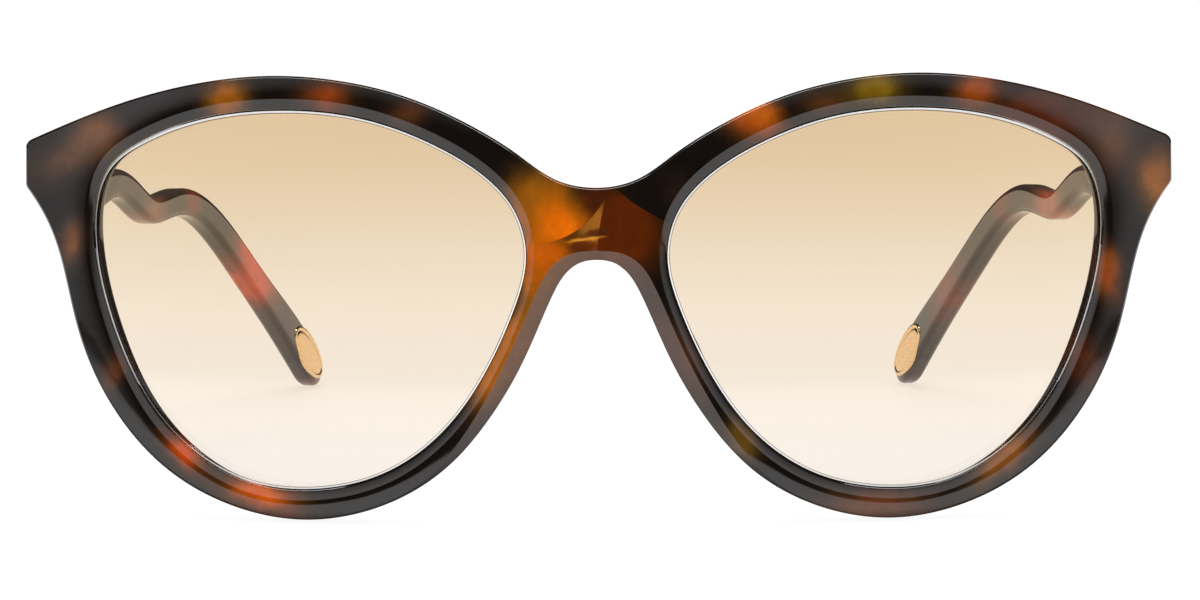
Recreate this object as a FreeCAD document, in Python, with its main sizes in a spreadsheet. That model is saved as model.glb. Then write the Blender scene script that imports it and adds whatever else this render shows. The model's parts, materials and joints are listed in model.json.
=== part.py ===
"""Cat-eye acetate sunglasses: a parametric FreeCAD document, written as one STEP file per piece.

Shapes are drawn in the design frame, in millimetres: X across the front with +X to the wearer's left,
Y from the front towards the wearer, Z up the front, and the origin on the bridge's front face, level
with the middle of the lenses. Each is placed in the rest frame, where the open glasses stand on a flat
surface on their two rim bottoms and two temple tips.
"""

import FreeCAD, Part
import math
import os

import Sketcher
from FreeCAD import Placement, Rotation, Vector

# Driving dimensions, in millimetres and degrees: each is an aliased cell of the spreadsheet.
DIMENSIONS = {
    "front_radius": 230.0,  # horizontal curve of the front's outer face
    "front_thickness": 4.5,
    "opening_bevel": 0.9,  # chamfer round the front of each lens opening
    "lens_radius": 176.0,  # spherical curve of the lens
    "lens_thickness": 1.8,
    "lens_overlap": 0.6,  # depth of the lens's edge in its groove
    "lens_forward": 0.7,  # distance of the lens's apex ahead of the middle of the rim
    "pad_half_length": 7.5,
    "pad_half_width": 1.8,
    "pad_depth": 4.0,
    "pivot_x": 67.2,
    "pivot_stand": 1.85,  # distance of the hinge's axis behind the back of the front
    "hinge_middle": 17.0,  # height of the hinge's middle
    "hinge_height": 5.0,
    "knuckle_radius": 1.4,
    "knuckle_height": 1.5,
    "washer_thickness": 0.12,
    "washer_radius": 1.3,
    "washer_play": 0.04,
    "plate_width": 3.6,
    "plate_proud": 0.35,
    "plate_sunk": 0.6,
    "anchor_width": 2.0,
    "anchor_sunk": 2.4,
    "screw_radius": 0.7,
    "bore_radius": 0.74,
    "head_radius": 1.0,
    "head_height": 0.45,
    "head_play": 0.04,
    "slot_width": 0.3,
    "slot_length": 3.0,
    "slot_depth": 0.25,
    "leaf_start": 1.3,  # distance of the temple's leaf behind the hinge's axis
    "leaf_length": 8.0,
    "leaf_height": 4.2,
    "arm_start": -0.3,
    "arm_length": 2.8,
    "tang_start": 4.6,
    "tang_length": 2.4,
    "tang_height": 1.4,
    "tang_width": 2.0,
    "tang_drop": 0.7,  # how far the tang lies below the hinge's middle, in line with the core wire
    "butt_gap": 0.15,  # between the open temple and the back of the front
    "temple_face": 69.4,  # how far out the open temple's inner face is, beside the hinge's axis
    "temple_inset": 0.155,  # how fast an open temple comes in, per millimetre back
    "ear_bend": 0.00092,  # how the temple curls in round the head, past the start of the bend
    "ear_bend_start": 60.0,
    "wire_radius": 0.65,
    "wire_play": 0.03,
    "medallion_length": 13.4,
    "medallion_width": 5.6,
    "medallion_thickness": 0.9,
    "medallion_proud": 0.2,
    "medallion_round": 0.15,
    "medallion_depth": 128.4,  # how far back the medallion's middle lies
    "rest_tilt": 6.25,  # how far the front leans back when the glasses stand open
    "rest_rise": 28.11,
    "rest_shift": -66.07,
}

# Outlines, as (x, z) points of splines on the +X half of the front.
LENS_CENTRE = (36.6, 0.2)
LENS_OPENING = [
    (8.75, 5.2), (10.3, 11.4), (14.0, 15.6), (20.0, 19.4), (30.0, 23.1), (40.0, 24.2), (50.5, 23.2),
    (58.6, 20.3), (62.6, 17.3), (64.3, 12.6), (64.3, 7.0), (61.6, -3.8), (56.3, -14.0), (50.5, -19.6),
    (43.5, -23.0), (36.0, -23.75), (27.5, -22.0), (20.0, -17.1), (14.3, -9.7), (10.3, -1.2),
]
BROW = [
    (0.0, 14.0), (5.0, 15.0), (10.0, 18.35), (15.0, 21.5), (24.0, 25.6),
    (32.0, 27.6), (41.0, 28.4), (51.0, 27.55), (61.0, 25.2), (72.7, 21.0),
]
UPPER_CORNER = [(72.7, 21.0), (73.3, 20.65), (73.5, 20.0)]
LOWER_CORNER = [(73.5, 15.3), (73.35, 14.75), (72.9, 14.2)]
UNDER_RIM = [
    (72.9, 14.2), (69.9, 9.1), (66.4, -3.5), (61.0, -14.5), (54.5, -21.3), (46.0, -25.8), (37.0, -27.45),
    (27.5, -25.85), (20.0, -21.8), (12.5, -13.3), (10.0, -9.1), (7.5, -3.8), (5.5, 0.7), (3.9, 3.3),
    (2.2, 4.6), (0.0, 5.0),
]
NASAL_RIM = [(7.5, 1.0), (14.3, -13.5)]  # the middle of the rim beside the nose, top and bottom of the pad

# The temple's sections from butt to tip: depth y, height z of the middle, thickness, height.
TEMPLE_SECTIONS = [
    (12.0, 17.4, 4.0, 6.2), (20.0, 17.1, 4.0, 6.2), (25.0, 16.1, 3.9, 5.9), (30.0, 14.9, 3.8, 5.2),
    (36.0, 15.0, 3.6, 4.9), (41.0, 16.0, 3.5, 4.1), (46.0, 16.1, 3.4, 4.0), (53.0, 14.6, 3.4, 4.0),
    (60.0, 13.0, 3.4, 3.9), (67.0, 13.6, 3.4, 3.9), (75.0, 14.5, 3.4, 4.0), (84.0, 13.5, 3.4, 4.1),
    (92.0, 10.9, 3.3, 4.4), (102.0, 6.3, 3.3, 4.6), (112.0, 1.1, 3.2, 5.0), (122.0, -4.3, 3.2, 5.7),
    (131.0, -9.8, 3.2, 6.3),
]
TIP_LENGTH = 5.2  # of the rounded end beyond the last section
TIP_ANGLES = (25, 45, 62, 75, 84)  # where the rounded end has sections, in degrees round its ellipse
SECTION_POWER = 4.5  # of the superellipse that a section is
SECTION_POINTS = 16
WIRE_SECTIONS = slice(2, 15)  # the temple's sections that the core wire passes through

THROUGH = 200.0  # long enough for a tool to pass right through the front

doc = FreeCAD.newDocument("sunglasses")


def dimension_sheet():
    """The spreadsheet that holds the driving dimensions."""
    made = doc.addObject("Spreadsheet::Sheet", "Dimensions")
    for row, (alias, value) in enumerate(DIMENSIONS.items(), start=1):
        made.set(f"A{row}", alias)
        made.set(f"B{row}", str(value))
        made.setAlias(f"B{row}", alias)
    doc.recompute()
    return made


sheet = dimension_sheet()


def size(alias):
    return float(sheet.get(alias))


REST = Placement(
    Vector(0, size("rest_shift"), size("rest_rise")), Rotation(Vector(1, 0, 0), -size("rest_tilt"))
)
UPRIGHT = Placement(Vector(), Rotation(Vector(1, 0, 0), 90))  # puts a sketch in the plane of the front


# Building blocks


def bind(made, **formulas):
    """Ties properties of an object to formulas over the sheet's aliases."""
    for prop, formula in formulas.items():
        words = [f"Dimensions.{word}" if word in DIMENSIONS else word for word in formula.split()]
        made.setExpression(prop, " ".join(words))
    return made


def primitive(kind, name, place, **formulas):
    """A Part primitive with its sizes bound to the sheet, at a place in the design frame."""
    made = bind(doc.addObject(f"Part::{kind}", name), **formulas)
    made.Placement = REST * place
    return made


def box(name, place, width, depth, height, start=(0, 0, 0)):
    """A box in the frame of a placement. start is its lowest corner there; its sizes are formulas."""
    corner = place * Placement(Vector(*start), Rotation())
    return primitive("Box", name, corner, Length=width, Width=depth, Height=height)


def cylinder(name, place, radius, height, low):
    """An upright cylinder about a placement's axis, from low upwards."""
    base = place * Placement(Vector(0, 0, low), Rotation())
    return primitive("Cylinder", name, base, Radius=radius, Height=height)


def boolean(kind, name, base, tool):
    """A Part::Cut or Part::Common of two objects."""
    made = doc.addObject(f"Part::{kind}", name)
    made.Base = base
    made.Tool = tool
    return made


def joined(name, *shapes):
    made = doc.addObject("Part::MultiFuse", name)
    made.Shapes = list(shapes)
    return made


def feature(name, shape, place=Placement()):
    """A shape made with Part's functions, at a place in the design frame."""
    made = doc.addObject("Part::Feature", name)
    made.Shape = shape
    made.Placement = REST * place
    return made


def mirrored(name, source):
    """The same piece for the wearer's right side."""
    made = doc.addObject("Part::Mirroring", name)
    made.Source = source
    made.Normal = Vector(1, 0, 0)
    return made


def loft(name, wires):
    """A smooth solid through closed wires, each of which becomes an object of the document."""
    made = doc.addObject("Part::Loft", name)
    made.Sections = [feature(f"{name}_section_{i}", wire) for i, wire in enumerate(wires)]
    made.Solid = True
    return made


def flat(point, side=1):
    """An outline's point in a sketch, on the +X half or, with side -1, on the other."""
    return Vector(side * point[0], point[1], 0)


def spline(points, side, first, last):
    """An open spline through an outline's points, with its end directions."""
    curve = Part.BSplineCurve()
    curve.interpolate(
        [flat(p, side) for p in points], InitialTangent=flat(first, side), FinalTangent=flat(last, side)
    )
    return curve


def closed_spline(points):
    curve = Part.BSplineCurve()
    curve.interpolate(points, PeriodicFlag=True)
    return curve


# Front


def half_outline(side):
    """The curves round one half of the front, from the top of the bridge to its underside."""
    return [
        spline(BROW, side, (1, 0), (0.93, -0.36)),
        Part.Arc(*[flat(p, side) for p in UPPER_CORNER]),
        Part.LineSegment(flat(UPPER_CORNER[-1], side), flat(LOWER_CORNER[0], side)),
        Part.Arc(*[flat(p, side) for p in LOWER_CORNER]),
        spline(UNDER_RIM, side, (-0.6, -0.8), (-1, 0)),
    ]


def front_plank():
    """The front's outline pushed through in depth."""
    sketch = doc.addObject("Sketcher::SketchObject", "front_outline")
    sketch.Placement = REST * UPRIGHT
    for side in (1, -1):
        for curve in half_outline(side):
            sketch.addGeometry(curve, False)
    made = doc.addObject("Part::Extrusion", "front_plank")
    made.Base = sketch
    made.DirMode = "Normal"
    made.LengthFwd = THROUGH / 2
    made.LengthRev = THROUGH / 2
    made.Solid = True
    return made


def upright_cylinder(name, radius):
    """A cylinder about the line that the front curves round, its radius a formula."""
    centre = Placement(Vector(0, size("front_radius"), 0), Rotation())
    return cylinder(name, centre, radius, str(THROUGH), -THROUGH / 2)


def opening_column(name, growth=0.0):
    """The outline of a lens opening, larger all round by growth, pushed through in depth."""
    curve = closed_spline([Vector(x, 0, z) for x, z in LENS_OPENING])
    if growth:
        grown = []
        for x, z in LENS_OPENING:
            point = Vector(x, 0, z)
            along = Vector(*curve.tangent(curve.parameter(point))[0])
            grown.append(point + along.cross(Vector(0, 1, 0)) * growth)
        curve = closed_spline(grown)
    column = Part.Face(Part.Wire(curve.toShape())).extrude(Vector(0, THROUGH, 0))
    return feature(name, column, Placement(Vector(0, -THROUGH / 2, 0), Rotation()))


def lens(name):
    """A lens: the opening's outline grown into its groove, cut from a spherical shell."""
    x, z = LENS_CENTRE
    radius = size("front_radius")
    across = math.asin(x / radius)
    inward = Vector(-math.sin(across), math.cos(across), 0)
    face = Vector(x, radius - radius * math.cos(across), z)
    apex = face + inward * (size("front_thickness") / 2 - size("lens_forward"))
    centre = Placement(apex + inward * size("lens_radius"), Rotation())
    outer = primitive("Sphere", f"{name}_outer", centre, Radius="lens_radius + lens_thickness / 2")
    inner = primitive("Sphere", f"{name}_inner", centre, Radius="lens_radius - lens_thickness / 2")
    shell = boolean("Cut", f"{name}_shell", outer, inner)
    return boolean("Common", name, shell, opening_column(f"{name}_column", size("lens_overlap")))


def nose_pad(name, behind_front):
    """Half an ellipsoid bonded to the back of the rim beside the nose."""
    (top_x, top_z), (low_x, low_z) = NASAL_RIM
    middle_x = (top_x + low_x) / 2
    back = size("front_radius") - size("front_thickness")
    depth = size("front_radius") - math.sqrt(back**2 - middle_x**2)
    lean = math.degrees(math.atan2(low_x - top_x, top_z - low_z))
    place = Placement(
        Vector(middle_x, depth, (top_z + low_z) / 2), Rotation(Vector(0, 1, 0), -lean)
    )
    whole = primitive(
        "Ellipsoid",
        f"{name}_whole",
        place,
        Radius1="pad_half_length",
        Radius2="pad_half_width",
        Radius3="pad_depth",
    )
    return boolean("Common", name, whole, behind_front)


def front_edges_of_openings(shape):
    """The numbers of the closed edges where the openings meet the front's outer face."""
    radius = size("front_radius")
    found = []
    for number, edge in enumerate(shape.Edges, start=1):
        point = REST.inverse().multVec(edge.valueAt(edge.FirstParameter))
        from_axis = math.hypot(point.x, point.y - radius)
        if edge.Closed and abs(from_axis - radius) < 0.01:
            found.append(number)
    return found


def front_frame(name, behind_front, lenses, plates):
    """The front: the curved sheet in its outline, with openings, grooves and the hinges' pockets."""
    outer = upright_cylinder("front_outer", "front_radius")
    sheet_solid = boolean("Cut", "front_sheet", outer, behind_front)
    blank = boolean("Common", "front_blank", sheet_solid, front_plank())
    opening = opening_column("opening_left")
    openings = joined("openings", opening, mirrored("opening_right", opening))
    opened = boolean("Cut", "front_opened", blank, openings)
    doc.recompute()
    bevelled = doc.addObject("Part::Chamfer", "front_bevelled")
    bevelled.Base = opened
    bevel = size("opening_bevel")
    bevelled.Edges = [(number, bevel, bevel) for number in front_edges_of_openings(opened.Shape)]
    return boolean("Cut", name, bevelled, joined("front_pockets", *lenses, *plates))


# Hinges


def hinge_frame():
    """The hinge's axis: x along the back of the front, y away from it, z up the axis."""
    radius = size("front_radius") - size("front_thickness") - size("pivot_stand")
    across = math.asin(size("pivot_x") / radius)
    place = Vector(
        size("pivot_x"), size("front_radius") - radius * math.cos(across), size("hinge_middle")
    )
    return Placement(place, Rotation(Vector(0, 0, 1), math.degrees(across)))


def inner_face(y):
    """How far out the open temple's inner face is, at a depth y."""
    pivot = hinge_frame().Base
    past_bend = max(0.0, y - size("ear_bend_start"))
    straight = size("temple_face") - size("temple_inset") * (y - pivot.y)
    return straight - size("ear_bend") * past_bend**2


def front_plate(name, hinge):
    """The front's hinge plate with its two knuckles, before boring."""
    height = size("hinge_height")
    stand = size("pivot_stand")
    parts = [
        box(
            f"{name}_base",
            hinge,
            "plate_width",
            "plate_proud + plate_sunk",
            "hinge_height",
            (-size("plate_width") / 2, -stand - size("plate_sunk"), -height / 2),
        ),
        box(
            f"{name}_anchor",
            hinge,
            "anchor_width",
            "anchor_sunk",
            "hinge_height - 2 * knuckle_height",
            (-size("anchor_width") / 2, -stand - size("anchor_sunk"), size("knuckle_height") - height / 2),
        ),
    ]
    for level, low in (("low", -height / 2), ("high", height / 2 - size("knuckle_height"))):
        parts.append(cylinder(f"{name}_knuckle_{level}", hinge, "knuckle_radius", "knuckle_height", low))
        parts.append(
            box(
                f"{name}_web_{level}",
                hinge,
                "2 * knuckle_radius",
                "pivot_stand",
                "knuckle_height",
                (-size("knuckle_radius"), -stand, low),
            )
        )
    return joined(f"{name}_solid", *parts)


def bored_front_plate(name, solid, hinge):
    """The plate with its screw hole: threaded below, running clear above, and sunk for the head."""
    half = size("hinge_height") / 2
    holes = joined(
        f"{name}_holes",
        cylinder(f"{name}_thread", hinge, "screw_radius", "hinge_height", -half),
        cylinder(f"{name}_clear", hinge, "bore_radius", "hinge_height / 2", 0),
        cylinder(
            f"{name}_sink", hinge, "head_radius + head_play", "head_height", half - size("head_height")
        ),
    )
    return boolean("Cut", name, solid, holes)


def temple_plate(name, hinge):
    """The temple's hinge plate, before boring: knuckle, arm, leaf, and tang towards the core wire."""
    turn = math.degrees(math.atan(size("temple_inset")))
    along = Placement(hinge.Base, Rotation(Vector(0, 0, 1), turn))
    face = (inner_face(hinge.Base.y) - size("pivot_x")) * math.cos(math.radians(turn))
    knuckle = "hinge_height - 2 * knuckle_height - 2 * washer_thickness - 2 * washer_play"
    knuckle_low = size("knuckle_height") + size("washer_thickness") + size("washer_play")
    knuckle_low -= size("hinge_height") / 2
    leaf_low = -size("leaf_height") / 2
    tang_low = -size("tang_drop") - size("tang_height") / 2
    return joined(
        f"{name}_solid",
        cylinder(f"{name}_knuckle", hinge, "knuckle_radius", knuckle, knuckle_low),
        box(
            f"{name}_arm",
            along,
            f"{face} + plate_sunk",
            "arm_length",
            knuckle,
            (0, size("arm_start"), knuckle_low),
        ),
        box(
            f"{name}_leaf",
            along,
            "plate_proud + plate_sunk",
            "leaf_length",
            "leaf_height",
            (face - size("plate_proud"), size("leaf_start"), leaf_low),
        ),
        box(
            f"{name}_tang",
            along,
            "tang_width",
            "tang_length",
            "tang_height",
            (face + size("plate_sunk") / 2, size("tang_start"), tang_low),
        ),
    )


def bored_temple_plate(name, solid, hinge):
    half = size("hinge_height") / 2
    bore = cylinder(f"{name}_bore", hinge, "bore_radius", "hinge_height", -half)
    return boolean("Cut", name, solid, bore)


def hinge_washers(name, hinge):
    """The two thin washers between the knuckles."""
    inner_end = size("hinge_height") / 2 - size("knuckle_height")
    rings = []
    for level, low in (("low", -inner_end), ("high", inner_end - size("washer_thickness"))):
        disc = cylinder(f"{name}_disc_{level}", hinge, "washer_radius", "washer_thickness", low)
        hole = cylinder(f"{name}_hole_{level}", hinge, "bore_radius", "washer_thickness", low)
        rings.append(boolean("Cut", f"{name}_{level}", disc, hole))
    made = doc.addObject("Part::Compound", name)
    made.Links = rings
    return made


def body_sketch(body, name, lift=None):
    """A sketch on a body's own base plane, lifted by a formula."""
    plane = next(f for f in body.Origin.OriginFeatures if f.Role == "XY_Plane")
    sketch = body.newObject("Sketcher::SketchObject", name)
    sketch.AttachmentSupport = [(plane, "")]
    sketch.MapMode = "FlatFace"
    if lift:
        bind(sketch, **{"AttachmentOffset.Base.z": lift})
    return sketch


def circle_sketch(body, name, radius, lift=None):
    """A sketch of one circle about the body's axis. radius is an alias of the sheet."""
    sketch = body_sketch(body, name, lift)
    sketch.addGeometry(Part.Circle(Vector(), Vector(0, 0, 1), size(radius)), False)
    sketch.addConstraint(Sketcher.Constraint("Coincident", 0, 3, -1, 1))
    number = sketch.addConstraint(Sketcher.Constraint("Radius", 0, size(radius)))
    bind(sketch, **{f"Constraints[{number}]": radius})
    return sketch


def slot_sketch(body, name, lift):
    """A sketch of the screwdriver's slot, longer than the head is wide."""
    sketch = body_sketch(body, name, lift)
    half_length = size("slot_length") / 2
    half_width = size("slot_width") / 2
    corners = [
        Vector(-half_length, -half_width, 0),
        Vector(half_length, -half_width, 0),
        Vector(half_length, half_width, 0),
        Vector(-half_length, half_width, 0),
    ]
    for number, corner in enumerate(corners):
        sketch.addGeometry(Part.LineSegment(corner, corners[(number + 1) % 4]), False)
    for number, level in enumerate(("Horizontal", "Vertical") * 2):
        sketch.addConstraint(Sketcher.Constraint("Coincident", number, 2, (number + 1) % 4, 1))
        sketch.addConstraint(Sketcher.Constraint(level, number))
    sketch.addConstraint(Sketcher.Constraint("Symmetric", 0, 1, 2, 1, -1, 1))
    length = sketch.addConstraint(Sketcher.Constraint("DistanceX", 0, 1, 0, 2, size("slot_length")))
    width = sketch.addConstraint(Sketcher.Constraint("DistanceY", 1, 1, 1, 2, size("slot_width")))
    bind(sketch, **{f"Constraints[{length}]": "slot_length", f"Constraints[{width}]": "slot_width"})
    return sketch


def hinge_screw(name, hinge):
    """The hinge's screw: shank, round head and slot, built up from its low end."""
    body = doc.addObject("PartDesign::Body", name)
    shank = body.newObject("PartDesign::Pad", f"{name}_shank")
    shank.Profile = circle_sketch(body, f"{name}_shank_circle", "screw_radius")
    bind(shank, Length="hinge_height - head_height")
    head = body.newObject("PartDesign::Pad", f"{name}_head")
    head.Profile = circle_sketch(
        body, f"{name}_head_circle", "head_radius", "hinge_height - head_height"
    )
    bind(head, Length="head_height")
    doc.recompute()
    before = body.Shape.Volume
    slot = body.newObject("PartDesign::Pocket", f"{name}_slot")
    slot.Profile = slot_sketch(body, f"{name}_slot_lines", "hinge_height")
    bind(slot, Length="slot_depth")
    body.Placement = REST * hinge * Placement(Vector(0, 0, -size("hinge_height") / 2), Rotation())
    doc.recompute()
    if body.Shape.Volume >= before:
        raise RuntimeError(f"{name}: the slot cuts nothing")
    return body


# Temples


def temple_path():
    """The curve along the middle of the open temple, through the middle of every section."""
    middles = [
        Vector(inner_face(y) + thickness / 2, y, z) for y, z, thickness, height in TEMPLE_SECTIONS
    ]
    curve = Part.BSplineCurve()
    curve.interpolate(middles)
    return curve, middles


def path_frame(curve, point):
    """A placement on the temple's path: x outwards, y back along the path, z up the section."""
    along = Vector(*curve.tangent(curve.parameter(point))[0])
    outward = along.cross(Vector(0, 0, 1)).normalize()
    return Placement(point, Rotation(outward, along, outward.cross(along), "YXZ"))


def section_wire(place, half_thickness, half_height):
    """A rounded, nearly rectangular section across the temple's path."""
    points = []
    for number in range(SECTION_POINTS):
        turn = 2 * math.pi * number / SECTION_POINTS
        across, up = (
            math.copysign(abs(part) ** (2 / SECTION_POWER), part)
            for part in (math.cos(turn), math.sin(turn))
        )
        points.append(place.multVec(Vector(half_thickness * across, 0, half_height * up)))
    return Part.Wire(closed_spline(points).toShape())


def temple_blank(name):
    """The temple's bar, from inside the front to its rounded tip."""
    curve, middles = temple_path()
    wires = []
    for middle, (_, _, thickness, height) in zip(middles, TEMPLE_SECTIONS):
        wires.append(section_wire(path_frame(curve, middle), thickness / 2, height / 2))
    last = path_frame(curve, middles[-1])
    _, _, last_thickness, last_height = TEMPLE_SECTIONS[-1]
    for angle in TIP_ANGLES:
        turn = math.radians(angle)
        place = last * Placement(Vector(0, TIP_LENGTH * math.sin(turn), 0), Rotation())
        thinning = math.sqrt(math.cos(turn))
        wires.append(
            section_wire(place, last_thickness / 2 * thinning, last_height / 2 * math.cos(turn))
        )
    return loft(name, wires)


def core_wire(name, radius):
    """The wire inside the temple, or the channel that it lies in."""
    curve, middles = temple_path()
    wires = []
    for middle in middles[WIRE_SECTIONS]:
        place = path_frame(curve, middle)
        along = place.Rotation.multVec(Vector(0, 1, 0))
        wires.append(Part.Wire(Part.Circle(place.Base, along, radius).toShape()))
    return loft(name, wires)


def medallion(name):
    """The oval inlay in the inner face of the temple's tip."""
    curve, middles = temple_path()
    nearest = min(middles, key=lambda middle: abs(middle.y - size("medallion_depth")))
    thickness = TEMPLE_SECTIONS[middles.index(nearest)][2]
    step = (size("medallion_depth") - nearest.y) / curve.tangent(curve.parameter(nearest))[0][1]
    place = path_frame(curve, nearest) * Placement(Vector(0, step, 0), Rotation())
    sunk = size("medallion_thickness") - size("medallion_proud")
    inset = Placement(Vector(sunk - thickness / 2, 0, 0), Rotation())
    facing = Placement(Vector(), Rotation(Vector(0, 1, 0), Vector(0, 0, 1), Vector(-1, 0, 0), "ZXY"))
    oval = bind(
        doc.addObject("Part::Ellipse", f"{name}_oval"),
        MajorRadius="medallion_length / 2",
        MinorRadius="medallion_width / 2",
    )
    oval.Placement = REST * place * inset * facing
    disc = doc.addObject("Part::Extrusion", f"{name}_disc")
    disc.Base = oval
    disc.DirMode = "Normal"
    disc.Solid = True
    bind(disc, LengthFwd="medallion_thickness")
    doc.recompute()
    rounded = doc.addObject("Part::Fillet", name)
    rounded.Base = disc
    ends = [number for number, edge in enumerate(disc.Shape.Edges, start=1) if edge.Closed]
    face_edge = min(ends, key=lambda number: disc.Shape.Edges[number - 1].CenterOfMass.x)
    rounded.Edges = [(face_edge, size("medallion_round"), size("medallion_round"))]
    return rounded


def temple(name, blank, *insets):
    """The temple: its bar, cut off along the back of the front, with room for what is set in it."""
    behind = upright_cylinder(f"{name}_end", "front_radius - front_thickness - butt_gap")
    trimmed = boolean("Common", f"{name}_trimmed", blank, behind)
    return boolean("Cut", name, trimmed, joined(f"{name}_insets", *insets))


# Assembly


def left_pieces():
    """The pieces on the wearer's left, each with the solid that its neighbours make room for."""
    hinge = hinge_frame()
    behind_front = upright_cylinder("behind_front", "front_radius - front_thickness")
    plate = front_plate("hinge_front_plate_left", hinge)
    leaf = temple_plate("hinge_temple_plate_left", hinge)
    left_lens = lens("lens_left")
    inlay = medallion("tip_medallion_left")
    channel = core_wire("temple_channel", size("wire_radius") + size("wire_play"))
    pieces = [
        left_lens,
        nose_pad("nose_pad_left", behind_front),
        bored_front_plate("hinge_front_plate_left", plate, hinge),
        bored_temple_plate("hinge_temple_plate_left", leaf, hinge),
        hinge_screw("hinge_screw_left", hinge),
        hinge_washers("hinge_washers_left", hinge),
        temple("temple_left", temple_blank("temple_bar"), leaf, channel, inlay),
        core_wire("temple_core_wire_left", size("wire_radius")),
        inlay,
    ]
    return pieces, behind_front, left_lens, plate


def build():
    """Every piece of the glasses, under its node's name."""
    pieces, behind_front, left_lens, plate = left_pieces()
    nodes = {}
    for piece in pieces:
        piece.Label = piece.Name
        right = piece.Name.replace("_left", "_right")
        nodes[piece.Name] = piece
        nodes[right] = mirrored(right, piece)
    nodes["front_frame"] = front_frame(
        "front_frame",
        behind_front,
        [left_lens, nodes["lens_right"]],
        [plate, mirrored("hinge_front_plate_right_solid", plate)],
    )
    for name, piece in nodes.items():
        piece.Label = name
    doc.recompute()
    return nodes


def check(nodes):
    """Stops if any object of the document failed, or any piece has no sound solid."""
    failed = [made.Name for made in doc.Objects if {"Invalid", "Error"} & set(made.State)]
    if failed:
        raise RuntimeError(f"failed objects: {failed}")
    for name, piece in nodes.items():
        if piece.Shape.isNull() or not piece.Shape.isValid() or not piece.Shape.Solids:
            raise RuntimeError(f"{name} has no valid solid")


def export(nodes):
    os.makedirs("parts", exist_ok=True)
    for name, piece in sorted(nodes.items()):
        piece.Shape.exportStep(f"parts/{name}.step")
        print(f"{name:28s} {len(piece.Shape.Solids)} solid(s), {piece.Shape.Volume:8.1f} mm3")


finished = build()
check(finished)
export(finished)
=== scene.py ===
"""Looks of the cat-eye sunglasses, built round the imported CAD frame.

Shapes are drawn in the design frame of the CAD, in millimetres: X across the front with +X to the
wearer's left, Y from the front towards the wearer, Z up the front, and the origin on the bridge's
front face. REST puts them where the open glasses stand on a flat surface.
"""

import json
import math
from collections import namedtuple

import bmesh
import bpy
import numpy as np
from mathutils import Matrix, Quaternion, Vector


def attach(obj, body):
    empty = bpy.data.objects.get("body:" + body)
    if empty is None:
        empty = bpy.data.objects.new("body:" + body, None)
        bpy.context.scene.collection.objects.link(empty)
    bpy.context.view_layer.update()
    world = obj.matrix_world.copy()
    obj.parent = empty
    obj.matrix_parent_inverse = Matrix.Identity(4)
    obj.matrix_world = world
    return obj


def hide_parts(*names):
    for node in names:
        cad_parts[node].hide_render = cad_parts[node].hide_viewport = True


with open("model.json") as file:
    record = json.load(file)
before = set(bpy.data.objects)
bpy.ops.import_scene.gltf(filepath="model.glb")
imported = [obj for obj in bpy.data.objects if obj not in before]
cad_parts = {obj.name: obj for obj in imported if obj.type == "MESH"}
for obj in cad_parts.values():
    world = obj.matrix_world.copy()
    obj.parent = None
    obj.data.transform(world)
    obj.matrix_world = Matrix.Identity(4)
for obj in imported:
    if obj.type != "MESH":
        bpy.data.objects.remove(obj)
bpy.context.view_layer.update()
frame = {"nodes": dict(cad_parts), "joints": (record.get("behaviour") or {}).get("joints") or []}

# Dimensions of the CAD, in millimetres.
FRONT_RADIUS = 230.0
FRONT_THICKNESS = 4.5
LENS_CENTRE = (36.6, 0.2)
LENS_RADIUS = 176.0
LENS_THICKNESS = 1.8
LENS_OVERLAP = 0.58
LENS_FORWARD = 0.7
HINGE = Vector((67.2, 16.6845, 17.0))  # the left hinge's middle, in the design frame
BUTT_RADIUS = FRONT_RADIUS - FRONT_THICKNESS - 0.15  # of the cylinder that the temples' ends follow
LENS_OPENING = [
    (8.75, 5.2), (10.3, 11.4), (14.0, 15.6), (20.0, 19.4), (30.0, 23.1), (40.0, 24.2), (50.5, 23.2),
    (58.6, 20.3), (62.6, 17.3), (64.3, 12.6), (64.3, 7.0), (61.6, -3.8), (56.3, -14.0), (50.5, -19.6),
    (43.5, -23.0), (36.0, -23.75), (27.5, -22.0), (20.0, -17.1), (14.3, -9.7), (10.3, -1.2),
]
BROW = [
    (0.0, 14.0), (5.0, 15.0), (10.0, 18.35), (15.0, 21.5), (24.0, 25.6),
    (32.0, 27.6), (41.0, 28.4), (51.0, 27.55), (61.0, 25.2), (72.7, 21.0),
]
END = [(73.5, 20.0), (73.5, 15.3)]
UNDER_RIM = [
    (72.9, 14.2), (69.9, 9.1), (66.4, -3.5), (61.0, -14.5), (54.5, -21.3), (46.0, -25.8), (37.0, -27.45),
    (27.5, -25.85), (20.0, -21.8), (12.5, -13.3), (10.0, -9.1), (7.5, -3.8), (5.5, 0.7), (3.9, 3.3),
    (2.2, 4.6), (0.0, 5.0),
]
TEMPLE_SECTIONS = [
    (12.0, 17.4, 4.0, 6.2), (20.0, 17.1, 4.0, 6.2), (25.0, 16.1, 3.9, 5.9), (30.0, 14.9, 3.8, 5.2),
    (36.0, 15.0, 3.6, 4.9), (41.0, 16.0, 3.5, 4.1), (46.0, 16.1, 3.4, 4.0), (53.0, 14.6, 3.4, 4.0),
    (60.0, 13.0, 3.4, 3.9), (67.0, 13.6, 3.4, 3.9), (75.0, 14.5, 3.4, 4.0), (84.0, 13.5, 3.4, 4.1),
    (92.0, 10.9, 3.3, 4.4), (102.0, 6.3, 3.3, 4.6), (112.0, 1.1, 3.2, 5.0), (122.0, -4.3, 3.2, 5.7),
    (131.0, -9.8, 3.2, 6.3),
]
TIP_LENGTH = 5.2
MEDALLION_DEPTH = 128.4  # how far back the middle of a tip's medallion lies
MEDALLION_LENGTH = 13.4
MEDALLION_WIDTH = 5.6

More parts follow.
